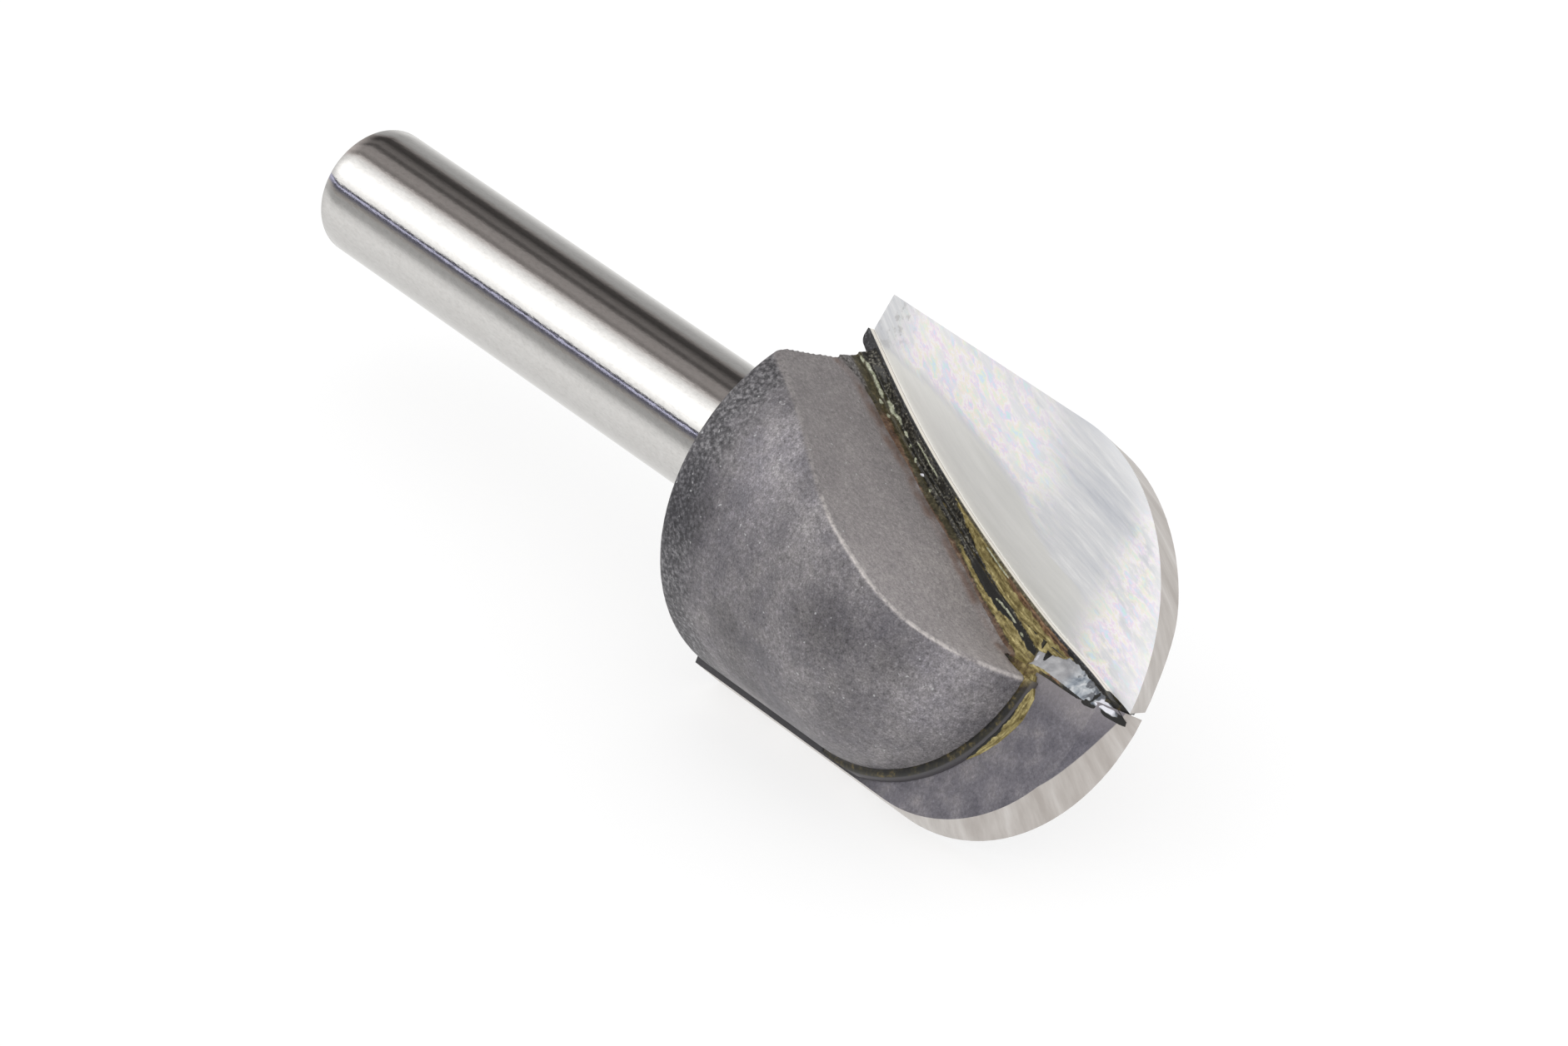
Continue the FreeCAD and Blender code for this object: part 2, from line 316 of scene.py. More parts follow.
def mat_blasted():
    mt, t, b = material("blasted_steel")
    x, y, z, p = t.tool_coords()
    b.inputs["Metallic"].default_value = 0.30
    big = t.noise(p, 0.30, 4.0, 0.55, 0.4).outputs[0]
    mid = t.noise(p, 1.1, 5.0, 0.62, w=3.0).outputs[0]
    fine = t.noise(p, 5.0, 3.0, 0.65).outputs[0]
    grit = t.noise(p, 13.0, 2.0, 0.6, w=1.0).outputs[0]
    # the two halves of the head are alike, half a turn apart
    sg = t.math("MULTIPLY", t.math("SIGN", y), -1.0)
    cv = t.node("ShaderNodeCombineXYZ")
    t.put(cv.inputs[0], t.math("MULTIPLY", x, sg))
    t.put(cv.inputs[1], t.math("MULTIPLY", y, sg))
    t.put(cv.inputs[2], z)
    pf = t.vmath("ADD", cv.outputs[0], t.vmath("SCALE", t.vmath("SUBTRACT", t.noise(p, 0.8, 4.0, 0.6, w=8.0).outputs["Color"], (0.5, 0.5, 0.5)), scale=3.0))
    shade = t.math("ADD", t.math("MULTIPLY", big, 0.45), t.math("MULTIPLY", mid, 0.55))
    c = t.ramp(shade, [(0.32, (0.115, 0.110, 0.124)), (0.45, (0.165, 0.156, 0.168)), (0.58, (0.215, 0.203, 0.210)), (0.70, (0.270, 0.256, 0.258))])
    # painted light and shade: each cloud lightens or darkens the colour
    for cen, rad, f in LIGHT_SHADE_CLOUDS:
        d = t.vmath("DISTANCE", pf, cen)
        c = t.mix(t.step(d, rad, rad * 0.15), c, t.mix(1.0, c, (f, f, f), "MULTIPLY"))
    sp = t.ramp(fine, [(0.30, 0.52), (0.44, 0.88), (0.56, 1.06), (0.70, 1.55)])
    c = t.mix(0.85, c, sp, "MULTIPLY")
    gr = t.ramp(grit, [(0.32, 0.62), (0.50, 1.0), (0.66, 1.42)])
    c = t.mix(0.8, c, gr, "MULTIPLY")
    # the gullet walls keep a smoother, browner skin
    wall = t.attr("wall")
    cw = t.ramp(t.math("ADD", t.math("MULTIPLY", shade, 0.7), t.math("MULTIPLY", fine, 0.3)), [(0.34, (0.215, 0.200, 0.203)), (0.50, (0.270, 0.250, 0.250)), (0.66, (0.330, 0.308, 0.303))])
    cw = t.mix(0.8, cw, t.ramp(grit, [(0.32, 0.74), (0.50, 1.0), (0.68, 1.28)]), "MULTIPLY")
    cw = t.mix(0.6, cw, t.ramp(fine, [(0.32, 0.78), (0.50, 1.0), (0.70, 1.25)]), "MULTIPLY")
    cw = t.vmath("SCALE", cw, scale=t.ramp(t.math("DIVIDE", z, 24.0), [(0.25, 1.36), (0.40, 1.30), (0.58, 1.06), (0.80, 0.92)]))
    c = t.mix(wall, c, cw)
    # dark, speckled band towards the back shoulder, and a darker patch beside it
    rr = t.math("SQRT", t.math("ADD", t.math("MULTIPLY", x, x), t.math("MULTIPLY", y, y)))
    zb = t.math("ADD", z, t.math("MULTIPLY", t.math("SUBTRACT", mid, 0.5), 4.6))
    band = t.math("MULTIPLY", t.step(zb, 19.2, 21.0), t.math("MULTIPLY", t.step(rr, 8.2, 8.6), t.math("SUBTRACT", 1.0, wall)))
    dark = t.ramp(fine, [(0.36, (0.022, 0.022, 0.026)), (0.50, (0.075, 0.074, 0.081)), (0.64, (0.25, 0.245, 0.255))])
    c = t.mix(t.math("MULTIPLY", band, 0.8), c, dark)
    c = t.mix(t.step(t.vmath("DISTANCE", pf, (-1.9, -8.6, 21.0)), 3.0, 0.8), c, t.mix(1.0, c, (0.62, 0.62, 0.64), "MULTIPLY"))
    # painted highlight along the rounded outer ridge, whose edges are also worn bright
    edge = t.math("MULTIPLY", t.step(t.attr("ridge"), 0.10, 0.80), t.step(t.math("ADD", mid, t.math("MULTIPLY", fine, 0.5)), 0.58, 0.82))
    edge = t.math("MULTIPLY", edge, t.math("MULTIPLY_ADD", t.step(z, 16.5, 11.5), 0.85, 0.15))
    edge = t.math("MULTIPLY", edge, t.math("SUBTRACT", 1.0, band))
    c = t.mix(t.math("MULTIPLY", edge, 0.9), c, (0.66, 0.62, 0.60))
    # painted glints: bright specks where the blasted grain catches the light
    glint_specks = t.step(t.noise(p, 4.2, 1.0, 0.5, w=5.0).outputs[0], 0.715, 0.760)
    c = t.mix(t.math("MULTIPLY", glint_specks, 0.7), c, (0.55, 0.55, 0.56))
    # heat colours beside the joint; black in the corner behind the tip, flux there together with painted shade of the
    # corner
    jag = t.math("SUBTRACT", mid, 0.5)
    heat = t.math("ADD", t.attr("scorch"), t.math("MULTIPLY", jag, 0.9))
    hc = t.ramp(t.attr("scorch"), [(0.0, (0.230, 0.195, 0.190)), (0.30, (0.215, 0.155, 0.130)), (0.60, (0.190, 0.105, 0.068)), (0.85, (0.125, 0.062, 0.034)), (1.0, (0.075, 0.045, 0.022))])
    patch = t.step(t.noise(p, 0.75, 3.0, 0.6, w=6.0).outputs[0], 0.40, 0.60)
    patch = t.math("MULTIPLY_ADD", patch, 0.45, 0.22)
    c = t.mix(t.math("MULTIPLY", t.math("MULTIPLY", t.step(heat, 0.10, 0.85), t.step(t.attr("scorch"), 0.0, 0.35)), patch), c, hc)
    flux_and_shade = t.step(t.math("ADD", t.attr("flux_and_shade"), t.math("MULTIPLY", jag, 0.8)), 0.35, 0.75)
    c = t.mix(flux_and_shade, c, (0.022, 0.021, 0.018))
    au = t.step(t.math("ADD", t.attr("gold"), t.math("MULTIPLY", jag, 0.6)), 0.35, 0.65)
    c = t.mix(au, c, t.ramp(fine, [(0.35, (0.20, 0.14, 0.035)), (0.62, (0.52, 0.42, 0.16))]))
    t.put(b.inputs["Base Color"], c)
    t.put(b.inputs["Roughness"], t.mixf(edge, t.math("MULTIPLY_ADD", mid, 0.2, 0.46), 0.38))
    h = t.math("ADD", t.math("MULTIPLY", fine, 1.0), t.math("MULTIPLY", grit, 0.7))
    t.put(b.inputs["Normal"], t.bump(h, 0.6, 0.00004))
    return mt


def mat_carbide(sign, name):
    mt, t, b = material(name)
    x, y, z, p = t.tool_coords(sign)
    nx, ny, nz = t.tool_normal(sign)
    rake = t.math("MULTIPLY", t.step(ny, -0.90, -0.98), t.step(y, -0.50, -0.47))
    relief = t.math("MULTIPLY", t.step(t.math("ABSOLUTE", ny), 0.75, 0.60), t.step(t.math("SUBTRACT", nx, nz), 0.55, 0.70))
    proud = t.step(y, -0.46, -0.49)
    # blasted sides and back
    mid = t.noise(p, 0.8, 5.0, 0.6).outputs[0]
    fine = t.noise(p, 6.0, 3.0, 0.6).outputs[0]
    grit = t.noise(p, 14.0, 2.0, 0.6).outputs[0]
    base = t.ramp(mid, [(0.32, (0.105, 0.100, 0.118)), (0.48, (0.150, 0.142, 0.162)), (0.62, (0.205, 0.193, 0.208)), (0.74, (0.270, 0.250, 0.252))])
    base = t.mix(0.8, base, t.ramp(fine, [(0.30, 0.75), (0.5, 1.0), (0.70, 1.3)]), "MULTIPLY")
    base = t.mix(0.7, base, t.ramp(grit, [(0.30, 0.75), (0.5, 1.0), (0.70, 1.3)]), "MULTIPLY")
    near_seam = t.step(t.math("ADD", x, t.math("MULTIPLY", mid, 1.2)), 2.6, 0.9)
    base = t.mix(t.math("MULTIPLY", near_seam, 0.55), base, (0.30, 0.275, 0.280))
    base = t.mix(t.math("MULTIPLY", t.step(t.math("ADD", z, t.math("MULTIPLY", mid, 3.0)), 10.8, 13.6), 0.88), base, (0.030, 0.029, 0.031))
    # ground rake face: fine lines that lean in towards the nose
    bend = t.math("MULTIPLY", t.math("MULTIPLY", t.math("SUBTRACT", z, 8.0), t.math("SUBTRACT", z, 8.0)), 0.0125)
    gx = t.math("SUBTRACT", x, t.math("ADD", t.math("MULTIPLY", z, 0.16), t.math("MULTIPLY", bend, t.math("SIGN", t.math("SUBTRACT", z, 8.0)))))
    cv = t.node("ShaderNodeCombineXYZ")
    t.put(cv.inputs[0], gx)
    t.put(cv.inputs[1], t.math("MULTIPLY", z, 0.07))
    lines = t.noise(cv.outputs[0], 3.2, 6.0, 0.70).outputs[0]
    broad = t.noise(cv.outputs[0], 0.6, 3.0, 0.5, w=2.0).outputs[0]
    g = t.ramp(t.math("ADD", t.math("MULTIPLY", lines, 0.55), t.math("MULTIPLY", broad, 0.45)),
               [(0.34, (0.475, 0.492, 0.535)), (0.45, (0.590, 0.602, 0.630)), (0.54, (0.680, 0.685, 0.695)), (0.65, (0.84, 0.84, 0.84))])
    # inner zone, smoother and a little greener, out to a line that runs down the face
    xb = t.node("ShaderNodeFloatCurve")
    cm = xb.mapping.curves[0]
    zone = [(0.0, 0.3), (1.87, 1.42), (3.76, 2.5), (8.88, 4.07), (11.84, 5.38), (14.04, 6.01), (16.28, 6.52), (18.46, 6.9), (20.58, 7.12), (24.0, 7.5)]
    cm.points[0].location = (zone[0][0] / 24.0, zone[0][1] / 10.0)
    cm.points[1].location = (zone[-1][0] / 24.0, zone[-1][1] / 10.0)
    for zz, xx in zone[1:-1]:
        cm.points.new(zz / 24.0, xx / 10.0)
    xb.mapping.update()
    t.put(xb.inputs["Value"], t.math("DIVIDE", z, 24.0))
    past = t.math("SUBTRACT", x, t.math("MULTIPLY", xb.outputs[0], 10.0))
    inner = t.math("MULTIPLY", t.step(t.math("ADD", past, t.math("MULTIPLY", t.math("SUBTRACT", lines, 0.5), 0.9)), 0.12, -0.12), t.step(z, 1.4, 7.0))
    gi = t.ramp(t.math("ADD", t.math("MULTIPLY", lines, 0.4), t.math("MULTIPLY", broad, 0.6)), [(0.36, (0.670, 0.668, 0.638)), (0.62, (0.770, 0.766, 0.738))])
    gi = t.vmath("SCALE", gi, scale=t.ramp(t.math("DIVIDE", z, 24.0), [(0.30, 0.93), (0.50, 0.97), (0.75, 1.12)]))
    g = t.mix(t.math("MULTIPLY", inner, 0.9), g, gi)
    # painted sheen: near-white and pastel colours that the light throws off the fine lines, strongest high on the face
    # and again at the nose
    cz = t.node("ShaderNodeCombineXYZ")
    t.put(cz.inputs[0], gx)
    t.put(cz.inputs[1], t.math("MULTIPLY", z, 0.36))
    hue = t.noise(cz.outputs[0], 2.3, 5.0, 0.68, 0.3, w=4.0).outputs[0]
    pastel = t.ramp(hue, [(0.35, (0.60, 0.88, 0.85)), (0.41, (0.74, 0.80, 1.0)), (0.455, (0.96, 0.74, 0.87)), (0.50, (1.0, 1.0, 1.0)),
                          (0.545, (1.0, 0.87, 0.76)), (0.59, (0.84, 0.96, 0.74)), (0.65, (0.68, 0.86, 1.0))])
    amt = t.noise(cz.outputs[0], 2.6, 4.0, 0.6, w=9.0).outputs[0]
    high = t.math("MULTIPLY", t.step(past, -0.1, 0.5), t.math("MULTIPLY", t.step(past, 5.2, 1.8), t.math("MULTIPLY", t.step(z, 7.5, 13.0), t.step(z, 22.8, 20.0))))
    low = t.math("MULTIPLY", t.step(z, 5.6, 3.0), t.step(x, 0.1, 0.8))
    where = t.math("MAXIMUM", high, low)
    g = t.mix(t.math("MULTIPLY_ADD", high, 0.60, t.math("MULTIPLY", low, 0.22)), g, (0.96, 0.96, 0.97))
    g = t.mix(t.math("MULTIPLY", where, t.math("MULTIPLY", t.step(amt, 0.37, 0.55), 0.72)), g, pastel)
    # near white at the nose and along the cutting edge
    rb = t.math("SQRT", t.math("ADD", t.math("MULTIPLY", x, x), t.math("POWER", t.math("SUBTRACT", z, 9.525), 2.0)))
    rim = t.math("MULTIPLY", t.step(rb, 8.6, 9.5), t.step(z, 11.0, 7.0))
    g = t.mix(t.math("MULTIPLY", t.math("MAXIMUM", rim, t.step(z, 2.6, 0.6)), 0.45), g, (0.95, 0.95, 0.95))
    # painted highlight: the bright line where the small bevel of the ground edge catches the light
    xe = t.node("ShaderNodeFloatCurve")
    ce = xe.mapping.curves[0]
    foot_x = [(0.0, 0.02), (0.30, 0.06), (1.1, 0.24), (2.0, 0.48), (3.4, 0.80), (4.8, 1.06), (7.4, 1.66), (11.2, 2.74), (14.2, 3.72), (17.6, 5.00), (20.8, 6.44), (24.0, 8.03)]
    ce.points[0].location = (foot_x[0][0] / 24.0, foot_x[0][1] / 10.0)
    ce.points[1].location = (foot_x[-1][0] / 24.0, foot_x[-1][1] / 10.0)
    for zz, xx in foot_x[1:-1]:
        ce.points.new(zz / 24.0, xx / 10.0)
    xe.mapping.update()
    t.put(xe.inputs["Value"], t.math("DIVIDE", z, 24.0))
    off = t.math("SUBTRACT", x, t.math("MULTIPLY", xe.outputs[0], 10.0))
    g = t.mix(t.math("MULTIPLY", t.step(t.math("ADD", off, t.math("MULTIPLY", t.math("SUBTRACT", fine, 0.5), 0.08)), 0.105, 0.05), 0.85), g, (1.0, 0.99, 0.965))
    dist = t.math("SQRT", t.math("ADD", t.math("POWER", t.math("SUBTRACT", x, 8.5), 2.0), t.math("POWER", t.math("SUBTRACT", z, 22.3), 2.0)))
    scuff = t.math("MULTIPLY", t.step(dist, 1.6, 0.5), t.step(t.noise(p, 1.9, 4.0, 0.7, w=12.0).outputs[0], 0.50, 0.62))
    g = t.mix(t.math("MULTIPLY", scuff, 0.45), g, (0.30, 0.29, 0.28))
    col = t.mix(rake, base, g)
    # ground relief: facets that follow each other round the ball
    ang = t.math("ARCTAN2", x, t.math("SUBTRACT", 9.525, z))
    cf = t.node("ShaderNodeCombineXYZ")
    t.put(cf.inputs[0], t.math("ADD", t.math("MULTIPLY", ang, 7.0), t.math("MULTIPLY", y, 0.5)))
    t.put(cf.inputs[1], t.math("MULTIPLY", y, 0.15))
    facet = t.noise(cf.outputs[0], 1.4, 4.0, 0.6).outputs[0]
    land = t.ramp(facet, [(0.36, (0.405, 0.368, 0.342)), (0.47, (0.462, 0.427, 0.400)), (0.56, (0.512, 0.477, 0.450)), (0.68, (0.60, 0.57, 0.545))])
    # the part of it at the nose that the wheel did not reach is still dark
    miss = t.math("MULTIPLY", t.step(t.math("SUBTRACT", y, t.math("MULTIPLY_ADD", x, 0.262, 0.265)), -0.03, 0.03), t.step(x, 5.2, 4.6))
    if sign > 0:
        miss = t.math("MULTIPLY", miss, 0.0)
    land = t.mix(miss, land, t.mix(1.0, base, (0.82, 0.82, 0.86), "MULTIPLY"))
    col = t.mix(t.math("MULTIPLY", relief, t.math("SUBTRACT", 1.0, proud)), col, land)
    # the lip that the wheel left standing is coated with flux; its foot, the step wall beside the ground face, gets a
    # painted highlight
    flux = t.ramp(fine, [(0.38, (0.010, 0.010, 0.011)), (0.55, (0.030, 0.030, 0.033)), (0.68, (0.11, 0.11, 0.12))])
    tan = t.ramp(fine, [(0.38, (0.060, 0.048, 0.024)), (0.52, (0.150, 0.125, 0.065)), (0.66, (0.30, 0.27, 0.17))])
    flux = t.mix(t.math("MULTIPLY", t.math("MULTIPLY", t.step(z, 15.5, 11.5), t.step(z, 5.4, 6.4)), 0.75), flux, tan)
    foot_highlight = t.math("MULTIPLY", t.step(nx, 0.45, 0.65), t.step(y, -0.74, -0.68))
    col = t.mix(proud, col, t.mix(foot_highlight, flux, (0.92, 0.88, 0.80)))
    t.put(b.inputs["Base Color"], col)
    bright = t.math("MAXIMUM", rake, t.math("MULTIPLY", relief, t.math("SUBTRACT", 1.0, miss)))
    bright = t.math("MULTIPLY", bright, t.math("SUBTRACT", 1.0, proud))
    t.put(b.inputs["Metallic"], t.mixf(bright, 0.15, 0.12))
    t.put(b.inputs["Roughness"], t.mixf(bright, 0.5, 0.34))
    h = t.mixf(bright, t.math("MULTIPLY", fine, 1.0), t.math("MULTIPLY", lines, 0.25))
    t.put(b.inputs["Normal"], t.bump(h, 0.5, 0.00003))
    return mt


def mat_braze():
    mt, t, b = material("braze")
    x, y, z, p = t.tool_coords()
    n = t.noise(p, 3.0, 5.0, 0.6).outputs[0]
    c = t.ramp(n, [(0.40, (0.010, 0.010, 0.009)), (0.55, (0.030, 0.026, 0.014)), (0.68, (0.12, 0.09, 0.03))])
    dz = t.math("SUBTRACT", z, 13.5)
    rb = t.math("SQRT", t.math("ADD", t.math("MULTIPLY", x, x), t.math("MULTIPLY", dz, dz)))
    far = t.math("MULTIPLY", t.step(rb, 8.90, 8.97), t.step(t.math("ABSOLUTE", y), 1.44, 1.47))
    c = t.mix(far, c, (0.062, 0.058, 0.064))
    sg = t.math("MULTIPLY", t.math("SIGN", y), -1.0)
    cv = t.node("ShaderNodeCombineXYZ")
    t.put(cv.inputs[0], t.math("MULTIPLY", x, sg))
    t.put(cv.inputs[1], t.math("MULTIPLY", y, sg))
    t.put(cv.inputs[2], z)
    d = t.vmath("DISTANCE", cv.outputs[0], (-0.85, -1.45, 5.5))
    c = t.mix(t.step(d, 1.15, 0.6), c, t.ramp(n, [(0.38, (0.075, 0.045, 0.016)), (0.50, (0.20, 0.15, 0.055)), (0.64, (0.42, 0.34, 0.15))]))
    t.put(b.inputs["Base Color"], c)
    t.put(b.inputs["Roughness"], t.math("MULTIPLY_ADD", n, 0.3, 0.25))
    return mt


def mat_run():
    """Braze and glassy flux; the painting attributes say which is where."""
    mt, t, b = material("braze_and_flux")
    tc = t.node("ShaderNodeTexCoord").outputs["Object"]
    p = t.vmath("SCALE", tc, scale=1.0 / MM)
    n1 = t.noise(p, 3.2, 5.0, 0.65).outputs[0]
    n2 = t.noise(p, 9.0, 3.0, 0.6, w=2.0).outputs[0]
    nn = t.math("ADD", t.math("MULTIPLY", n1, 0.55), t.math("MULTIPLY", n2, 0.45))
    jag = t.math("MULTIPLY", t.math("SUBTRACT", nn, 0.5), 0.9)

    def mask(name, soft=0.22):
        return t.step(t.math("ADD", t.attr(name), jag), 0.5 - soft, 0.5 + soft)

    c = t.ramp(nn, [(0.36, (0.020, 0.018, 0.009)), (0.50, (0.050, 0.043, 0.020)), (0.62, (0.115, 0.098, 0.050))])
    sv = t.node("ShaderNodeCombineXYZ")
    t.put(sv.inputs[0], t.math("MULTIPLY", t.attr("across"), 5.5))
    t.put(sv.inputs[1], t.math("MULTIPLY", t.attr("along"), 0.9))
    streak = t.noise(sv.outputs[0], 1.6, 4.0, 0.6, 0.4).outputs[0]
    ng = t.math("ADD", t.math("MULTIPLY", nn, 0.38), t.math("MULTIPLY", streak, 0.62))
    brown = t.ramp(nn, [(0.38, (0.050, 0.028, 0.017)), (0.50, (0.115, 0.060, 0.033)), (0.62, (0.20, 0.135, 0.080))])
    c = t.mix(mask("brown"), c, brown)
    gold = t.ramp(ng, [(0.36, (0.070, 0.050, 0.014)), (0.44, (0.185, 0.145, 0.050)), (0.53, (0.31, 0.255, 0.100)), (0.63, (0.55, 0.47, 0.22))])
    m_gold = mask("gold")
    c = t.mix(m_gold, c, gold)
    copper = t.ramp(ng, [(0.38, (0.045, 0.024, 0.014)), (0.50, (0.150, 0.085, 0.042)), (0.64, (0.33, 0.20, 0.10))])
    c = t.mix(mask("copper"), c, copper)
    n3 = t.noise(p, 1.9, 3.0, 0.5, 0.6, w=7.0).outputs[0]
    glass = t.ramp(n3, [(0.34, (0.13, 0.155, 0.19)), (0.44, (0.29, 0.325, 0.37)), (0.53, (0.44, 0.47, 0.50)), (0.64, (0.66, 0.67, 0.69))])
    glass = t.mix(t.attr("clear"), glass, t.ramp(n3, [(0.34, (0.30, 0.30, 0.315)), (0.50, (0.37, 0.37, 0.385)), (0.64, (0.45, 0.45, 0.46))]))
    dim = t.math("MULTIPLY", t.step(t.noise(p, 1.7, 2.0, 0.5, 0.5, w=11.0).outputs[0], 0.50, 0.42), t.math("SUBTRACT", 1.0, t.attr("clear")))
    glass = t.mix(t.math("MULTIPLY", dim, 0.8), glass, (0.050, 0.055, 0.070))
    m_glass = mask("glass")
    c = t.mix(m_glass, c, glass)
    black = t.ramp(t.math("ADD", t.math("MULTIPLY", n2, 0.7), t.math("MULTIPLY", n1, 0.3)), [(0.42, (0.009, 0.009, 0.008)), (0.51, (0.026, 0.024, 0.019)), (0.56, (0.100, 0.094, 0.072)), (0.66, (0.30, 0.29, 0.25))])
    m_black = mask("black", 0.15)
    c = t.mix(m_black, c, black)
    solid = mask("solid", 0.15)
    c = t.mix(solid, c, (0.010, 0.010, 0.009))
    cream_and_highlight = t.ramp(nn, [(0.40, (0.22, 0.235, 0.150)), (0.52, (0.46, 0.475, 0.345)), (0.64, (0.70, 0.70, 0.60))])
    c = t.mix(mask("cream_and_highlight"), c, cream_and_highlight)
    ash = t.ramp(n2, [(0.38, (0.050, 0.046, 0.042)), (0.52, (0.130, 0.122, 0.118)), (0.66, (0.235, 0.222, 0.215))])
    c = t.mix(mask("ash", 0.35), c, ash)
    white = mask("white", 0.15)
    c = t.mix(white, c, (0.80, 0.80, 0.86))
    t.put(b.inputs["Base Color"], c)
    t.put(b.inputs["Metallic"], t.math("MULTIPLY", t.math("MULTIPLY", m_gold, t.math("SUBTRACT", 1.0, t.math("MAXIMUM", m_black, m_glass))), 0.35))
    t.put(b.inputs["Roughness"], t.math("ADD", t.math("MULTIPLY_ADD", nn, 0.45, 0.10), t.math("MULTIPLY", solid, 0.35)))
    t.put(b.inputs["Normal"], t.bump(nn, 0.6, 0.00006))
    return mt


# ---------------------------------------------------------------- steel: blasted head and polished shank in one mesh
def lathe(name, prof, seg=192):
    """Closed turned mesh about the tool's axis from (radius, z) points; ends with radius 0 close it."""
    verts, faces, rings = [], [], []
    for r, z in prof:
        if r < 1e-9:
            rings.append([len(verts)])
            verts.append((0.0, 0.0, z))
        else:
            rings.append(list(range(len(verts), len(verts) + seg)))
            for i in range(seg):
                a = 2 * math.pi * i / seg
                verts.append((r * math.cos(a), r * math.sin(a), z))
    for A, B in zip(rings, rings[1:]):
        for i in range(seg):
            j = (i + 1) % seg
            if len(A) == 1:
                faces.append((A[0], B[j], B[i]))
            elif len(B) == 1:
                faces.append((A[i], A[j], B[0]))
            else:
                faces.append((A[i], A[j], B[j], B[i]))
    ob = new_mesh_object(name, to_row(verts), faces)
    bm = bmesh.new()
    bm.from_mesh(ob.data)
    bmesh.ops.recalc_face_normals(bm, faces=bm.faces)
    bm.to_mesh(ob.data)
    bm.free()
    return ob


def build_steel():
    src = nodes["shank_body"].data
    bm = bmesh.new()
    bm.from_mesh(src)
    bmesh.ops.remove_doubles(bm, verts=bm.verts, dist=1e-7)
    cut = Vector(to_row([0, 0, 24.2]))
    res = bmesh.ops.bisect_plane(bm, geom=bm.verts[:] + bm.edges[:] + bm.faces[:], plane_co=cut, plane_no=Vector((-1, 0, 0)), clear_outer=True)
    edges = [g for g in res["geom_cut"] if isinstance(g, bmesh.types.BMEdge)]
    bmesh.ops.contextual_create(bm, geom=edges)
    bmesh.ops.triangulate(bm, faces=[f for f in bm.faces if len(f.verts) > 4])
    bmesh.ops.recalc_face_normals(bm, faces=bm.faces)
    me = bpy.data.meshes.new("steel_head")
    bm.to_mesh(me)
    bm.free()
    head = bpy.data.objects.new("steel_head", me)
    scene.collection.objects.link(head)
    md = head.modifiers.new("r", "REMESH")
    md.mode = "VOXEL"
    md.voxel_size = 0.00014
    md.use_smooth_shade = True
    md = head.modifiers.new("s", "SMOOTH")
    md.factor = 0.5
    md.iterations = 4
    apply_modifiers(head)
    # the polished shank, turned about the axis and joined onto the head
    prof = [(0, 23.35), (SHANK_R - 0.02, 23.35), (SHANK_R, 23.37)]
    for z in np.linspace(24.0, OVERALL - 0.46, 40):
        prof.append((SHANK_R, float(z)))
    prof += [(SHANK_R - 0.02, OVERALL - 0.41), (SHANK_R - 0.37, OVERALL - 0.03), (SHANK_R - 0.41, OVERALL), (SHANK_R - 0.6, OVERALL), (0, OVERALL)]
    shank = lathe("shank_tmp", prof)
    md = head.modifiers.new("u", "BOOLEAN")
    md.operation = "UNION"
    md.object = shank
    md.solver = "MANIFOLD"
    apply_modifiers(head)
    bpy.data.objects.remove(shank)
    me = head.data
    me.materials.clear()
    me.materials.append(M_BLAST)
    me.materials.append(M_SHANK)
    n = len(me.polygons)
    cen = np.empty(n * 3, np.float32)
    me.polygons.foreach_get("center", cen)
    c = to_tool(cen.reshape(-1, 3))
    idx = ((c[:, 2] > 23.36) & (np.hypot(c[:, 0], c[:, 1]) < 3.4)).astype(np.int32)
    me.polygons.foreach_set("material_index", idx)
    me.polygons.foreach_set("use_smooth", [True] * n)
    me.update()
    head.name = "steel_body"
    print("steel_body", len(me.vertices), "verts", len(me.polygons), "faces", "shank faces", int(idx.sum()))
    return head


M_BLAST = mat_blasted()
M_SHANK = mat_shank()
steel = build_steel()
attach(steel, "root")
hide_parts("shank_body")


for name, sign in (("carbide_tip_a", 1.0), ("carbide_tip_b", -1.0)):
    ob = nodes[name]
    ob.data.materials.clear()
    ob.data.materials.append(mat_carbide(sign, "carbide_" + name[-1]))
M_BRAZE = mat_braze()
for name in ("braze_joint_a", "braze_joint_b"):
    ob = nodes[name]
    ob.data.materials.clear()
    ob.data.materials.append(M_BRAZE)


# ---------------------------------------------------------------- braze and flux that ran out of the joints
def spline_fn(pts):
    """Natural cubic through (x, z) points, x as a function of z."""
    a = np.array(sorted(pts, key=lambda q: q[1]), float)
    xk, zk = a[:, 0], a[:, 1]
    n = len(zk)
    h = np.diff(zk)
    A = np.zeros((n, n))
    r = np.zeros(n)
    A[0, 0] = A[-1, -1] = 1.0
    for i in range(1, n - 1):
        A[i, i - 1], A[i, i], A[i, i + 1] = h[i - 1], 2 * (h[i - 1] + h[i]), h[i]
        r[i] = 6 * ((xk[i + 1] - xk[i]) / h[i] - (xk[i] - xk[i - 1]) / h[i - 1])
    m = np.linalg.solve(A, r)

    def f(z):
        z = np.asarray(z, float)
        i = np.clip(np.searchsorted(zk, z) - 1, 0, n - 2)
        a0, a1, hh = z - zk[i], zk[i + 1] - z, h[i]
        return m[i] * a1 ** 3 / (6 * hh) + m[i + 1] * a0 ** 3 / (6 * hh) + (xk[i] / hh - m[i] * hh / 6) * a1 + (xk[i + 1] / hh - m[i + 1] * hh / 6) * a0
    return f


edge_x = spline_fn([(-0.10, -0.6), (0.06, 0.30), (0.24, 1.1), (0.48, 2.0), (0.80, 3.4), (1.06, 4.8), (1.66, 7.4), (2.74, 11.2),
                    (3.72, 14.2), (5.00, 17.6), (6.44, 20.8), (7.74, 23.4), (8.60, 25.2)])


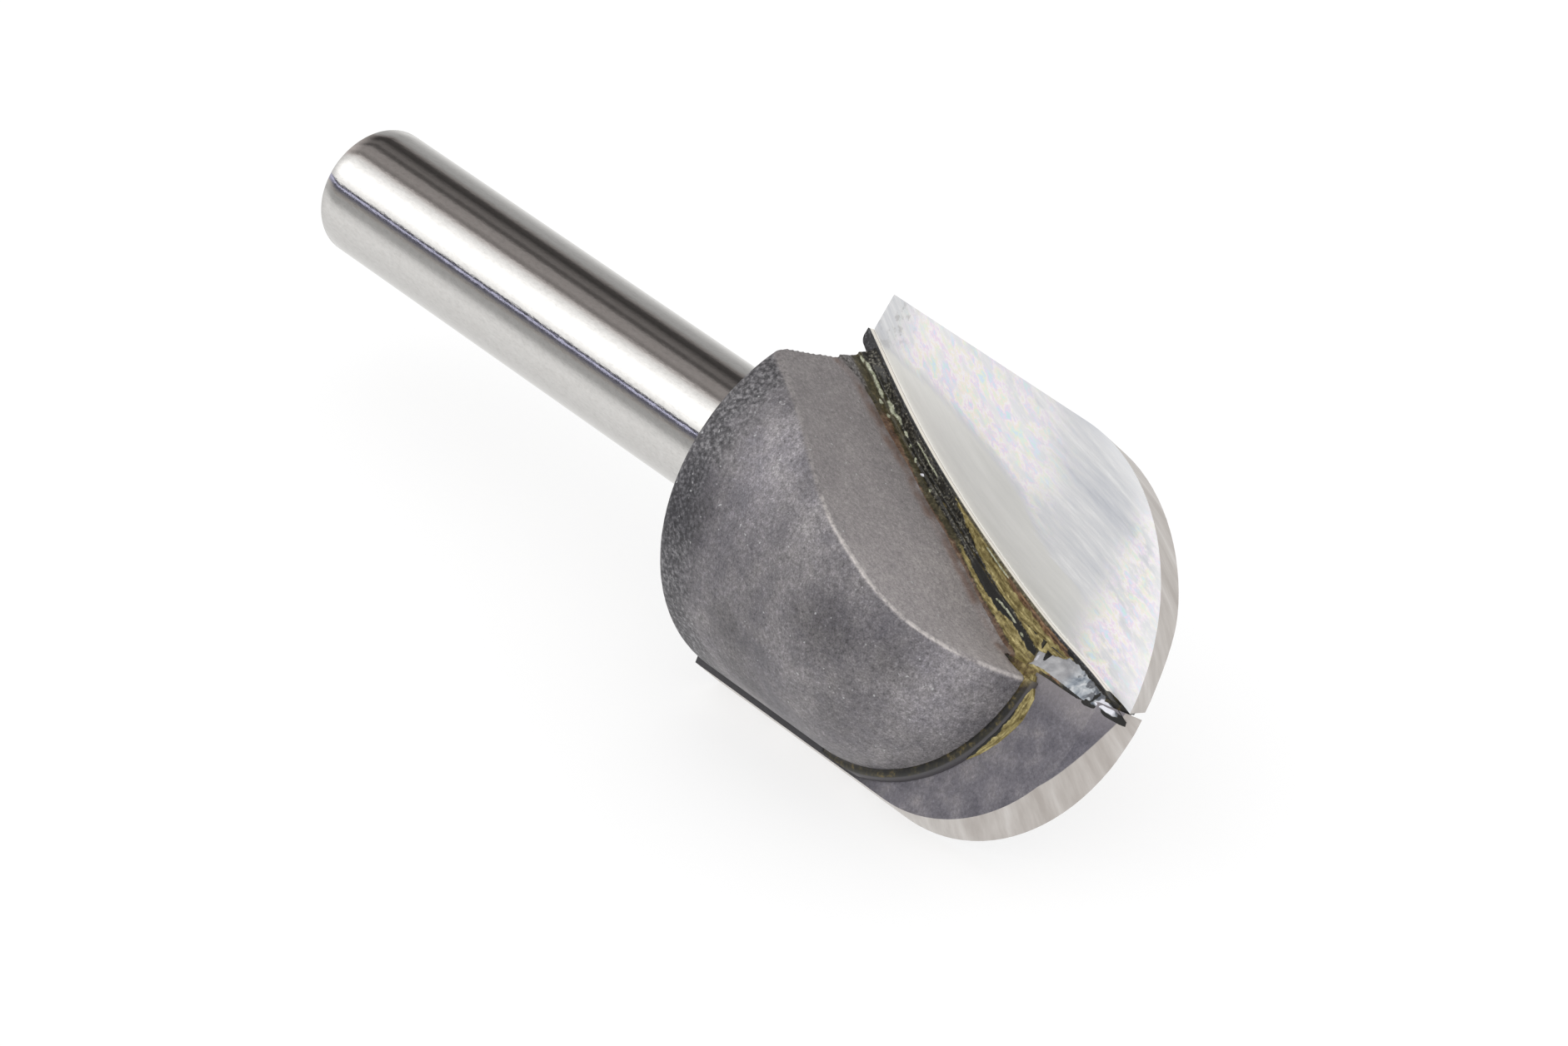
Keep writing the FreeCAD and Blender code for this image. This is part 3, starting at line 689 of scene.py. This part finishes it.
def sstep(v, a, b):
    q = np.clip((np.asarray(v, float) - a) / (b - a), 0, 1)
    return q * q * (3 - 2 * q)


def over(z, pts):
    a = np.array(sorted(pts), float)
    return np.interp(z, a[:, 0], a[:, 1])


def field(P, scale, seed):
    from mathutils import noise as mn
    return np.array([mn.noise(Vector((q[0] * scale + seed, q[1] * scale, q[2] * scale - seed))) for q in P])


# across the run, w measures square to the direction it is looked at from
E_W = np.array([0.8660254, 0.5, 0.0])
D_W = np.array([-0.5, 0.8660254, 0.0])
LIP_Y = 0.82


def w_edge(z):
    return E_W[0] * edge_x(z) - E_W[1] * LIP_Y


WIDTH = [(0.20, 0.06), (0.25, 0.12), (0.44, 0.36), (0.70, 0.64), (1.00, 0.88), (1.60, 1.10), (2.20, 1.22), (3.00, 1.33), (3.90, 1.43), (4.72, 1.54),
         (5.30, 1.72), (5.80, 1.92), (6.27, 2.02), (7.16, 2.08), (8.53, 1.92), (9.78, 1.75), (11.29, 1.52), (13.1, 1.34), (15.02, 1.28), (16.78, 1.16),
         (18.81, 1.24), (20.4, 1.24), (21.3, 1.34), (22.0, 1.62), (22.7, 1.95)]
CREAM = [(21.5, .66, .30, .055), (20.9, .70, .38, .07), (19.9, .58, .36, .075), (19.4, .54, .26, .055), (19.05, .50, .16, .05), (18.45, .52, .15, .05),
         (17.8, .62, .10, .05), (22.0, .74, .12, .05), (20.3, .90, .12, .04), (19.6, .86, .10, .04), (17.1, .72, .07, .05), (15.4, .86, .08, .05)]


def tree_of(obs):
    vs, fs = [], []
    for o in obs:
        base = len(vs)
        mw = o.matrix_world
        vs += [mw @ v.co for v in o.data.vertices]
        fs += [tuple(base + i for i in pl.vertices) for pl in o.data.polygons]
    return BVHTree.FromPolygons(vs, fs)


def row_dir(d):
    return Vector((M_ROW @ np.asarray(d, float)).tolist())


def closed_sheet(name, top, bottom, attrs, mat, turn):
    """Closed mesh from two grids of points (rows, columns, 3); turn: half a turn about the axis."""
    nr, nc = top.shape[:2]
    pts = np.concatenate([top.reshape(-1, 3), bottom.reshape(-1, 3)])
    if turn:
        pts = pts * np.array([-1.0, -1.0, 1.0])
    off = nr * nc
    faces = []
    for i in range(nr - 1):
        for j in range(nc - 1):
            a, b2, c2, d2 = i * nc + j, i * nc + j + 1, (i + 1) * nc + j + 1, (i + 1) * nc + j
            faces.append((a, b2, c2, d2))
            faces.append((off + a, off + d2, off + c2, off + b2))
    for i in range(nr - 1):
        for j in (0, nc - 1):
            a, b2 = i * nc + j, (i + 1) * nc + j
            faces.append((a, b2, off + b2, off + a))
    for j in range(nc - 1):
        for i in (0, nr - 1):
            a, b2 = i * nc + j, i * nc + j + 1
            faces.append((a, b2, off + b2, off + a))
    ob = new_mesh_object(name, to_row(pts), faces)
    bm = bmesh.new()
    bm.from_mesh(ob.data)
    bmesh.ops.recalc_face_normals(bm, faces=bm.faces)
    bm.to_mesh(ob.data)
    bm.free()
    for k, v in attrs.items():
        set_attr(ob.data, k, np.concatenate([v.ravel(), v.ravel()]))
    ob.data.materials.append(mat)
    return ob


def blur(a, k, axis):
    """Moving average of 2k+1 samples with the ends held."""
    pad = [(0, 0)] * a.ndim
    pad[axis] = (k, k)
    b2 = np.pad(a, pad, mode="edge")
    n = a.shape[axis]
    return sum(np.take(b2, range(i, i + n), axis=axis) for i in range(2 * k + 1)) / (2 * k + 1)


def build_run(z0):
    nz, nt = ((420, 46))
    zz = np.linspace(z0, 22.55, nz)
    tt = np.linspace(0.0, 1.0, nt)
    Z, T = np.meshgrid(zz, tt, indexing="ij")
    W0 = w_edge(Z) - 0.02
    width = over(Z, WIDTH) + 0.05
    Wv = W0 - T * width
    tree = tree_of([steel, nodes["carbide_tip_a"], nodes["carbide_tip_b"], nodes["braze_joint_a"], nodes["braze_joint_b"]])
    d = row_dir(D_W)
    depth = np.full(Z.shape, np.nan)
    for i in range(nz):
        for j in range(nt):
            q = E_W * Wv[i, j] - D_W * 12.0
            q = np.array([q[0], q[1], min(zz[i], 22.18)])
            hit = tree.ray_cast(Vector(to_row(q).tolist()), d, 0.03)
            if hit[0] is not None:
                depth[i, j] = hit[3] / MM - 12.0
    for j in range(nt):
        ok = np.isfinite(depth[:, j])
        depth[:, j] = np.interp(zz, zz[ok], depth[ok, j])
    raw = depth.copy()
    k = 3
    sm = blur(blur(depth, k, 0), 2, 1)
    sm = blur(sm, k, 0)
    keep = sstep(T, 0.05, 0.16)
    depth = raw * (1 - keep) + sm * keep
    P = np.stack([E_W[0] * Wv + D_W[0] * depth, E_W[1] * Wv + D_W[1] * depth, Z], -1)
    flat = P.reshape(-1, 3)
    na = field(flat, 1.1, 3.7).reshape(Z.shape)
    nb = field(flat, 3.3, 11.3).reshape(Z.shape)
    nc = field(flat, 8.0, 5.1).reshape(Z.shape)
    e = T * width
    ej = e + 0.06 * nb + 0.045 * nc
    E1 = over(Z, [(5.9, 1.0), (6.8, .89), (8.1, .80), (9.25, .79), (10.3, .70), (11.4, .58), (12.5, .40), (14.1, .10), (14.6, -.1), (23, -.1)])
    E2 = over(Z, [(5.9, 1.30), (6.35, 1.29), (6.94, 1.22), (7.75, 1.14), (8.92, 1.28), (9.8, 1.25), (10.63, 1.21), (11.35, 1.10), (12.4, .97), (13.5, .90),
                  (15.06, .90), (16.76, .77), (18.19, .65), (19.52, .54), (21.08, .59), (22.3, .66)])
    above = sstep(Z, 5.75, 6.05)
    right = (1 - sstep(ej, E1 - .05, E1 + .05)) * sstep(Z, 5.0, 5.6)
    black = (1 - sstep(ej, E2 - .06, E2 + .06)) * (1 - right) * above
    solid = black * (1 - sstep(Z, 10.6, 12.2)) * sstep(ej, E1 + .02, E1 + .12)
    # a thin black line along the ground edge: painted shadow of the lip's step
    solid = np.maximum(solid, (1 - sstep(e, .02, .06)) * sstep(Z, 7.5, 10.5))
    # gold right of the black line, and down to where the seam's glass begins
    g_low = over(Z, [(3.7, .16), (4.0, .24), (4.5, .46), (5.1, .74), (5.5, .92), (6.0, 1.05)])
    gold = right + (1 - sstep(ej, g_low - .05, g_low + .05)) * (1 - sstep(Z, 5.5, 6.0)) * sstep(Z, 3.6, 4.1)
    # gold left of it, going over into brown further up
    E3 = over(Z, [(6.0, 1.95), (6.9, 1.78), (8.5, 1.60), (10.2, 1.48), (11.5, 1.28), (12.6, 1.12), (14, 1.0)])
    left = sstep(ej, E2 - .04, E2 + .04) * (1 - sstep(ej, E3 - .10, E3 + .10)) * (1 - sstep(Z, 11.2, 13.4)) * above
    gold = gold + left
    gold = gold + sstep(ej, E2 - .05, E2 + .05) * sstep(Z, 5.3, 5.9) * (1 - sstep(Z, 6.2, 6.8))
    brown = sstep(ej, E2 + .18, E2 + .42) * sstep(Z, 10.5, 13.0) * (1 - sstep(Z, 18.0, 20.6) * .7)
    brown = np.maximum(brown, sstep(ej, E3 - .05, E3 + .10) * (1 - sstep(Z, 12.0, 14.0)) * above * .8)
    copper = (1 - sstep(ej, .20, .34)) * (1 - sstep(Z, 8.4, 10.2)) * sstep(Z, 3.9, 4.3)
    # seam at the nose: glass between a dark band by the edge and a line along the other tip
    dl = width - e
    glass = sstep(ej, g_low - .04, g_low + .06) * (1 - sstep(Z, 5.45, 5.8))
    clear = glass * sstep(Z, 2.9, 3.6)
    nose = 1 - sstep(Z, 4.1, 4.7)
    solid = np.maximum(solid, (1 - sstep(ej, .11, .20)) * nose * .95)
    line = 1 - sstep(dl + .03 * nc, .15, .22)
    low = 1 - sstep(Z, 5.5, 5.8)
    gold = gold + line * low * sstep(Z, 4.0, 4.5)
    copper = np.maximum(copper, line * sstep(Z, 3.2, 3.7) * (1 - sstep(Z, 4.1, 4.6)))
    solid = np.maximum(solid, line * (1 - sstep(Z, 3.0, 3.5)))
    glass = glass * (1 - line * low)
    solid = np.maximum(solid, 1 - sstep(Z, .40, .54))
    # dark tongues that hang into the glass
    f1 = sstep(Z, 5.62, 5.9) * (1 - sstep(Z, 6.3, 6.6)) * sstep(ej, 1.02, 1.12) * (1 - sstep(ej, 1.22, 1.36))
    hw = .26 * np.clip((1.20 - e) / .5, 0, 1)
    f2 = (1 - sstep(np.abs(Z - 5.08 - .3 * (1.0 - e)), hw * .6, hw + .03)) * sstep(e, .62, .72) * (1 - sstep(e, 1.10, 1.20))
    solid = np.maximum(solid, np.maximum(f1, f2))
    f3 = np.exp(-((Z - 1.45 - .25 * nb) / .16) ** 2) * sstep(e, .1, .3)
    solid = np.maximum(solid, np.clip(f3 * (.9 + nb), 0, 1))
    glass = np.clip(glass + .0, 0, 1)
    white = np.exp(-((Z - .86) / .36) ** 4) * np.exp(-((T - .50 - .05 * nb) / .27) ** 4)
    white = np.maximum(white, .62 * np.exp(-((Z - 5.45) / .20) ** 2 - ((e - 1.25) / .30) ** 2))
    white = np.maximum(white, np.exp(-((Z - 16.3) / .10) ** 2 - ((e - .80) / .09) ** 2))
    solid = solid * (1 - white)
    cream_and_highlight = np.zeros(Z.shape)
    for cz, ce, rz, re in CREAM:
        cream_and_highlight = np.maximum(cream_and_highlight, np.exp(-((Z - cz + .5 * (e - ce) + .10 * nc) / (rz * 1.15)) ** 2 - ((e - ce + .07 * nb) / (re * 1.5)) ** 2))
    # painted highlights: two thin cream lines along the run where its surface catches the light
    cream_and_highlight = np.maximum(cream_and_highlight, (1 - sstep(np.abs(e - .25 - .02 * nb), .015, .05)) * sstep(Z, 15.4, 15.8) * (1 - sstep(Z, 17.3, 17.8)))
    cream_and_highlight = np.maximum(cream_and_highlight, (1 - sstep(np.abs(e - .13), .015, .045)) * sstep(Z, 9.0, 9.5) * (1 - sstep(Z, 10.9, 11.5)))
    cream_and_highlight = np.maximum(cream_and_highlight, (1 - sstep(np.abs(e - over(Z, [(7.6, 1.02), (8.4, 1.0), (9.2, 1.06)]) - .03 * nb), .02, .05)) * sstep(Z, 7.5, 7.7) * (1 - sstep(Z, 9.1, 9.4)))
    cream_and_highlight = np.maximum(cream_and_highlight, np.exp(-((Z - 7.0) / .16) ** 2 - ((e - 1.12) / .05) ** 2))
    cream_and_highlight = np.clip(cream_and_highlight * 1.15, 0, 1)
    solid = solid * (1 - cream_and_highlight)
    ash = sstep(e, 1.00, 1.30) * sstep(Z, 20.4, 21.4)
    # how thick it stands
    th = .045 + .030 * nb + .020 * nc + .030 * na
    th = th + .050 * cream_and_highlight - .045 * black * sstep(e, .3, .5) + .05 * glass * np.sin(np.pi * T) - .05 * solid * above
    heap = np.exp(-((Z - 22.3) / .80) ** 2) * over(T, [(0, .03), (.15, .30), (.30, .85), (.42, 1.0), (.55, .86), (.75, .56), (.90, .30), (1.0, .10)])
    th = np.maximum(th, .012) + .60 * heap
    fade = sstep(T, 0.0, .07) * sstep(1 - T, 0.0, .12) * sstep(Z, z0 - .02, z0 + .22) * (1 - sstep(Z, 22.30, 22.56))
    off = -.035 + (th + .035) * fade
    top = P - D_W * off[..., None]
    top[..., 2] += .25 * heap * fade
    bottom = P + D_W * .14
    bottom[-6:, :, 2] -= .35 * sstep(np.arange(6) / 5.0, 0, 1)[:, None]
    top[-4:, :, 2] -= .10 * (np.arange(4) / 3.0)[:, None]
    attrs = {"black": black, "solid": solid, "gold": np.clip(gold, 0, 1), "brown": np.clip(brown, 0, 1), "copper": copper,
             "glass": glass, "clear": clear, "ash": ash, "cream_and_highlight": cream_and_highlight, "white": white, "along": Z, "across": e}
    return top, bottom, attrs


def build_crescent():
    n, m = ((300, 22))
    zc = 13.5
    ph = np.radians(np.linspace(4.5, 92.0, n))
    q = np.linspace(0, 1, m)
    PH, Q = np.meshgrid(ph, q, indexing="ij")
    deg = np.degrees(PH)
    outer = over(deg, [(4.5, 8.80), (7.0, 9.05), (9.5, 9.38), (16, 9.58), (24, 9.46), (32, 9.27), (37, 9.08), (42, 8.96), (50, 8.92), (70, 8.90), (92, 8.88)])
    # across: out of the steel, over the corner, down on the back of the tip
    r_in, y_in = 8.60, 1.70
    R = r_in + (outer - r_in) * (1 - (1 - Q) ** 1.35)
    Y = y_in + (1.40 - y_in) * Q ** 1.25
    base = np.stack([-R * np.sin(PH), -Y, zc - R * np.cos(PH)], -1)
    flat = base.reshape(-1, 3)
    nb = field(flat, 3.0, 2.2).reshape(Q.shape)
    nc = field(flat, 8.0, 7.9).reshape(Q.shape)
    bulge = np.sin(np.pi * Q) * (.09 + .03 * nb + .015 * nc)
    nrm = np.stack([-np.sin(PH) * .70, -np.full(PH.shape, .71), -np.cos(PH) * .70], -1)
    top = base + nrm * bulge[..., None]
    bottom = base - nrm * (.10 + .22 * np.sin(np.pi * Q))[..., None]
    # the part in the corner against the steel is black: flux there with painted shade of the crevice; the outer part is
    # gold
    qj = Q + .07 * nb + .05 * nc
    split = over(deg, [(4.5, -.3), (7.5, -.1), (9.5, .12), (13, .30), (20, .40), (30, .52), (36, .76), (41, 1.3), (92, 1.4)])
    gold = sstep(qj, split - .06, split + .06)
    solid = 1 - gold
    z0 = np.zeros(Q.shape)
    attrs = {"black": solid * .0, "solid": solid, "gold": gold, "brown": z0, "copper": z0, "glass": z0, "clear": z0, "ash": z0, "cream_and_highlight": z0, "white": z0, "along": PH * 9.0, "across": Q}
    return top, bottom, attrs


M_RUN = mat_run()
cr_top, cr_bottom, cr_attrs = build_crescent()
for tag, turn in (("a", False), ("b", True)):
    # the dark lens over the nose is on the side of tip a only
    run_top, run_bottom, run_attrs = build_run(1.35 if turn else 0.25)
    ob = closed_sheet("braze_run_" + tag, run_top, run_bottom, run_attrs, M_RUN, turn)
    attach(ob, "root")
    # the fillet behind tip b is on -X, that behind tip a half a turn from it
    ob = closed_sheet("braze_fillet_" + tag, cr_top, cr_bottom, cr_attrs, M_RUN, not turn)
    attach(ob, "root")

# how far each spot of the steel lies from the joints
co = to_tool(mesh_co(steel.data))
heat = np.zeros(len(co))
flux_and_shade = np.zeros(len(co))
auro = np.zeros(len(co))
wall = np.zeros(len(co))
ridge = np.zeros(len(co))
ridge_x = spline_fn([(-1.32, -1.5), (-1.32, 3.0), (-1.16, 6.2), (-0.50, 8.6), (0.72, 11.2), (1.95, 13.8), (3.75, 17.1), (5.02, 20.0), (5.62, 22.2), (6.10, 24.2)])
root_x = spline_fn([(-1.00, -1.5), (-0.98, 3.0), (-0.80, 6.0), (-0.30, 8.2), (1.05, 11.2), (2.35, 13.8), (3.75, 17.2), (5.12, 20.2), (6.45, 22.2), (7.80, 24.2)])
for s in (1.0, -1.0):
    X, Y, Z = co[:, 0] * s, co[:, 1] * s, co[:, 2]
    zc = np.clip(Z, 0.4, 23.0)
    e = w_edge(zc) - (E_W[0] * X + E_W[1] * Y) - over(zc, WIDTH)
    ok = (Y < -0.7) & (Y > -4.2) & (Z > 5.9) & (Z < 22.6) & (X > -1.6)
    heat = np.maximum(heat, np.where(ok, 1 - sstep(e, .0, .66), 0))
    lean = np.clip((-Y - 0.85) / 7.15, 0, 1.3)
    wx = root_x(zc) + (ridge_x(zc) - root_x(zc)) * lean
    wall = np.maximum(wall, np.where((Y < -0.75) & (Z < 23.2), sstep(X - wx, -.22, -.08), 0))
    # ridge: nearness to the outer ridge of the gullet, which carries the painted highlight and the wear
    turned = np.where(Z > 13.5, np.hypot(X, Y), np.sqrt(X * X + Y * Y + (Z - 13.5) ** 2)) - 8.8
    ridge = np.maximum(ridge, np.where((Y < -1.0) & (Z < 21.5), 1 - sstep(np.hypot(X - wx, turned), .04, .21), 0))
    # the corner behind the tip: black flux with painted shade of the crevice
    behind = (X < wx - .05) & (X < -0.9) & (Y < -1.2) & (Z < 22.3)
    flux_and_shade = np.maximum(flux_and_shade, np.where(behind, (1 - sstep(np.abs(Y + 1.47), .12, .34)) * sstep(X, -.9, -1.5), 0))
    A, B = np.array([-.49, -1.18, 6.27]), np.array([-1.02, -1.55, 5.0])
    q = np.stack([X, Y, Z], -1)
    k = np.clip(((q - A) @ (B - A)) / ((B - A) @ (B - A)), 0, 1)
    dist = np.linalg.norm(q - (A + k[:, None] * (B - A)), axis=1)
    auro = np.maximum(auro, 1 - sstep(dist, .12, .40))
set_attr(steel.data, "scorch", heat)
set_attr(steel.data, "flux_and_shade", flux_and_shade)
set_attr(steel.data, "gold", auro)
set_attr(steel.data, "wall", wall)
set_attr(steel.data, "ridge", ridge)
